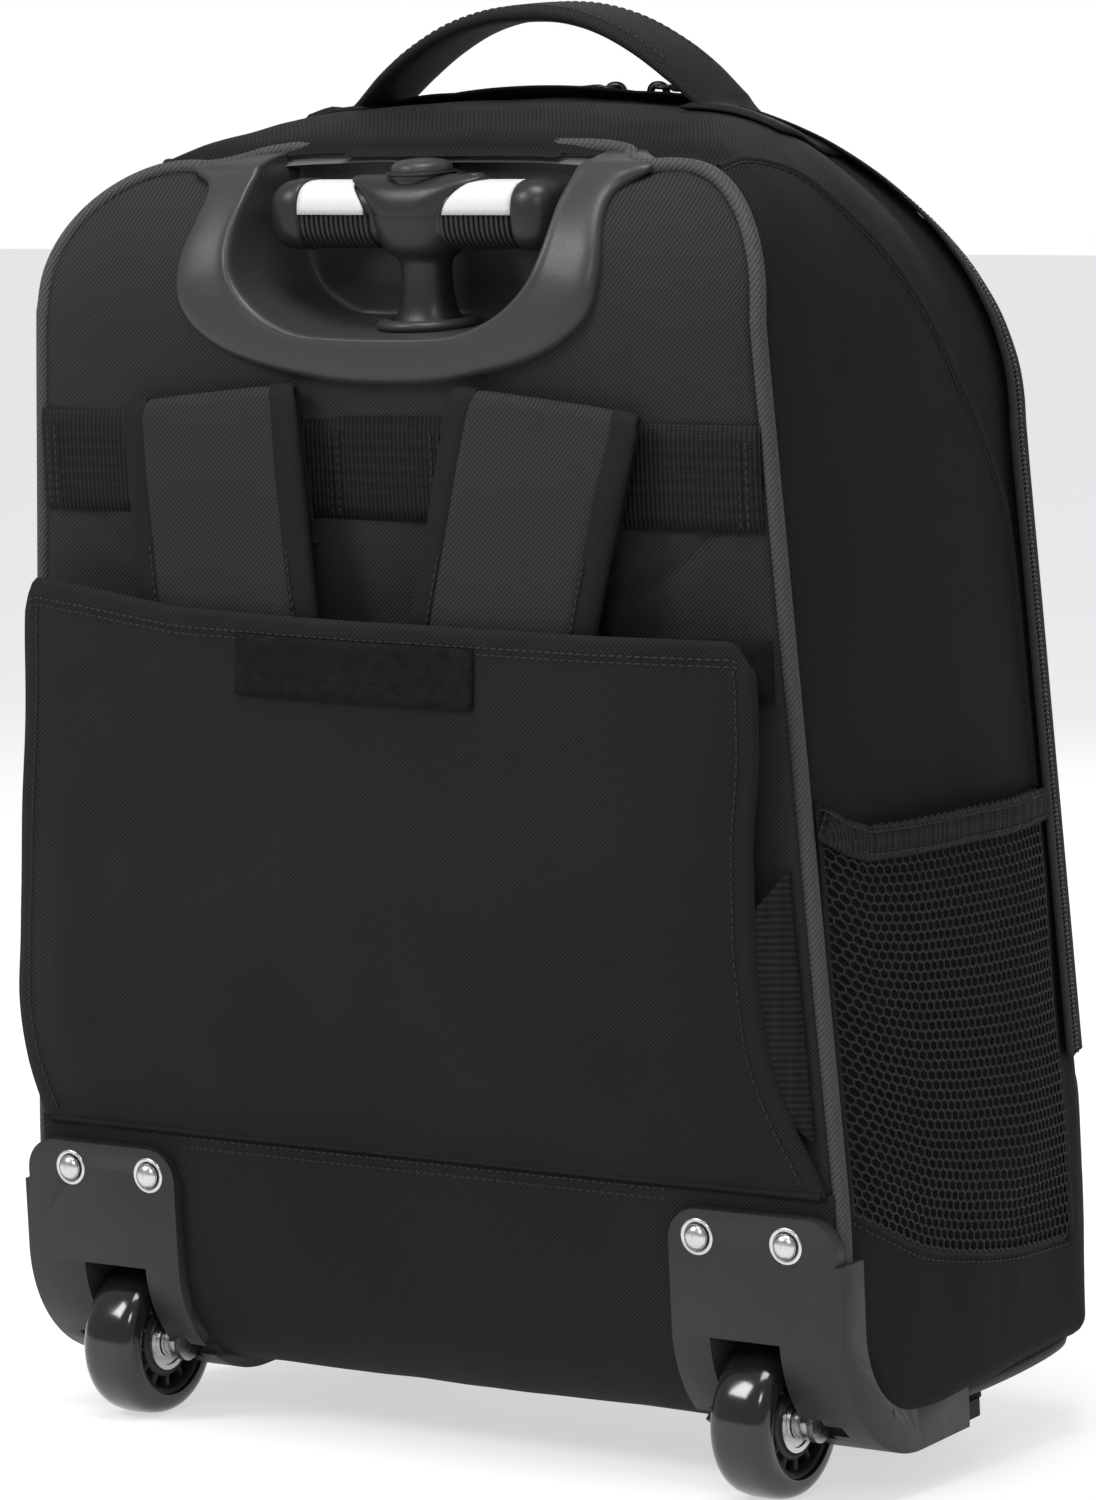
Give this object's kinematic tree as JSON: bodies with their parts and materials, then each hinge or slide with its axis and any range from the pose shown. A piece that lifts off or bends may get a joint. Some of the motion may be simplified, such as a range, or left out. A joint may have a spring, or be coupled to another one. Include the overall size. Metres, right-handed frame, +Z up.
{
  "type": "rolling laptop backpack",
  "caption": "Wheeled laptop backpack with telescoping T-handle, moulded wheel corners, rear strap-stow pocket, mesh side pockets and top carry loop.",
  "frame": {"origin": "on the floor under the middle of the bag's overall box", "axes": "+X to the right seen from the wheel side, +Y from the wheel side to the front pockets, +Z up"},
  "size_m": [0.3648, 0.2676, 0.5298],
  "materials": {
    "tyre": "gloss",
    "hub_plastic": "gloss",
    "steel": "satin",
    "housing_plastic": "matte",
    "rubber": "matte",
    "board": "matte",
    "tube_metal": "satin",
    "cup_plastic": "satin",
    "inlay": "satin",
    "black_fabric": "twill",
    "lining": "plain weave",
    "grey_fabric": "twill",
    "piping": "ribbed",
    "webbing": "ribbed",
    "hook_and_loop": "pile",
    "mesh": "open mesh",
    "elastic": "ribbed",
    "zip_metal": "satin",
    "pull_rubber": "matte"
  },
  "bodies": {
    "bag": {"wheel_housing_left": "housing_plastic", "wheel_housing_right": "housing_plastic", "axle_left": "steel", "axle_right": "steel", "housing_rivets": "steel", "skids": "rubber", "kick_panel": "black_fabric", "base_board": "board", "back_board": "board", "front_foot_left": "housing_plastic", "front_foot_right": "housing_plastic", "foot_pads": "rubber", "outer_tube": "tube_metal", "outer_collar": "housing_plastic", "tube_foot": "housing_plastic", "handle_cup": "cup_plastic", "fixing_screws": "steel", "main_shell": "black_fabric", "inner_liner": "lining", "laptop_sleeve": "lining", "back_panel": "black_fabric", "back_piping": "piping", "webbing_band": "webbing", "panel_hook_strip": "hook_and_loop", "shoulder_strap_left": "black_fabric", "shoulder_strap_right": "black_fabric", "apron_gussets": "webbing", "lower_pocket": "black_fabric", "mesh_pocket_left": "mesh", "mesh_pocket_right": "mesh", "pocket_elastics": "elastic", "handle_anchors": "black_fabric", "zip_sliders": "zip_metal"},
    "wheel_left": {"tyre_left": "tyre", "hub_left": "hub_plastic", "bearings_left": "steel"},
    "wheel_right": {"tyre_right": "tyre", "hub_right": "hub_plastic", "bearings_right": "steel"},
    "middle_stage": {"middle_tube": "tube_metal", "middle_shoe": "housing_plastic", "middle_collar": "housing_plastic"},
    "lower_lock": {"lower_lock_pin": "steel"},
    "inner_stage": {"inner_tube": "tube_metal", "inner_shoe": "housing_plastic", "grip_lower": "cup_plastic", "grip_upper": "cup_plastic", "grip_inlays": "inlay", "button_spring": "steel"},
    "upper_lock": {"upper_lock_pin": "steel"},
    "button": {"release_button": "cup_plastic", "push_rod": "steel"},
    "lid": {"front_lid": "black_fabric", "upper_pocket": "grey_fabric"},
    "stow_apron": {"apron": "black_fabric", "apron_loop_strip": "hook_and_loop"},
    "carry_loop": {"carry_handle": "black_fabric"},
    "main_pull_left": {"main_pull_left": "pull_rubber"},
    "main_pull_right": {"main_pull_right": "pull_rubber"},
    "side_pull": {"side_pull": "pull_rubber"}
  },
  "joints": [
    {"name": "wheel_left_spin", "type": "hinge", "parent": "bag", "child": "wheel_left", "pos_m": [-0.139, -0.0694, 0.028], "axis": [1, 0, 0], "continuous": true},
    {"name": "wheel_right_spin", "type": "hinge", "parent": "bag", "child": "wheel_right", "pos_m": [0.139, -0.0694, 0.028], "axis": [1, 0, 0], "continuous": true},
    {"name": "middle_stage_slide", "type": "slide", "parent": "bag", "child": "middle_stage", "axis": [0, -0.0785, 0.9969], "range_m": [0, 0.29]},
    {"name": "inner_stage_slide", "type": "slide", "parent": "middle_stage", "child": "inner_stage", "axis": [0, -0.0785, 0.9969], "range_m": [0, 0.275]},
    {"name": "button_press", "type": "slide", "parent": "inner_stage", "child": "button", "axis": [0, 0.0785, -0.9969], "range_m": [0, 0.004], "stiffness_N_per_m": 900, "springref_m": -0.002, "deforming": ["button_spring"]},
    {"name": "upper_lock_retract", "type": "slide", "parent": "inner_stage", "child": "upper_lock", "axis": [-1, 0, 0], "range_m": [0, 0.0016]},
    {"name": "lower_lock_retract", "type": "slide", "parent": "middle_stage", "child": "lower_lock", "axis": [-1, 0, 0], "range_m": [0, 0.0016], "stiffness_N_per_m": 600, "springref_m": -0.001},
    {"name": "lid_open", "type": "hinge", "parent": "bag", "child": "lid", "pos_m": [0, 0.1224, 0.14641], "axis": [-1, 0, 0], "range_deg": [0, 80]},
    {"name": "apron_pull", "type": "hinge", "parent": "bag", "child": "stow_apron", "pos_m": [0, -0.09003, 0.11164], "axis": [1, 0, 0], "range_deg": [0, 15], "stiffness_Nm_per_rad": 2, "springref_deg": -5.73},
    {"name": "carry_loop_tip", "type": "hinge", "parent": "bag", "child": "carry_loop", "pos_m": [0, -0.0058, 0.49443], "axis": [1, 0, 0], "range_deg": [-16, 28], "stiffness_Nm_per_rad": 0.3},
    {"name": "main_pull_left_lift", "type": "hinge", "parent": "bag", "child": "main_pull_left", "pos_m": [0.022, 0.00604, 0.49696], "axis": [0, 0.9969, 0.0785], "range_deg": [0, 70]},
    {"name": "main_pull_right_lift", "type": "hinge", "parent": "bag", "child": "main_pull_right", "pos_m": [0.04, 0.00604, 0.49696], "axis": [0, -0.9969, -0.0785], "range_deg": [0, 9]},
    {"name": "side_pull_swing", "type": "hinge", "parent": "bag", "child": "side_pull", "pos_m": [-0.1699, -0.08649, 0.30251], "axis": [0, 0.9969, 0.0785], "range_deg": [0, 80]}
  ],
  "couplings": [
    {"joint": "upper_lock_retract", "follows": "button_press", "ratio": 0.4}
  ]
}
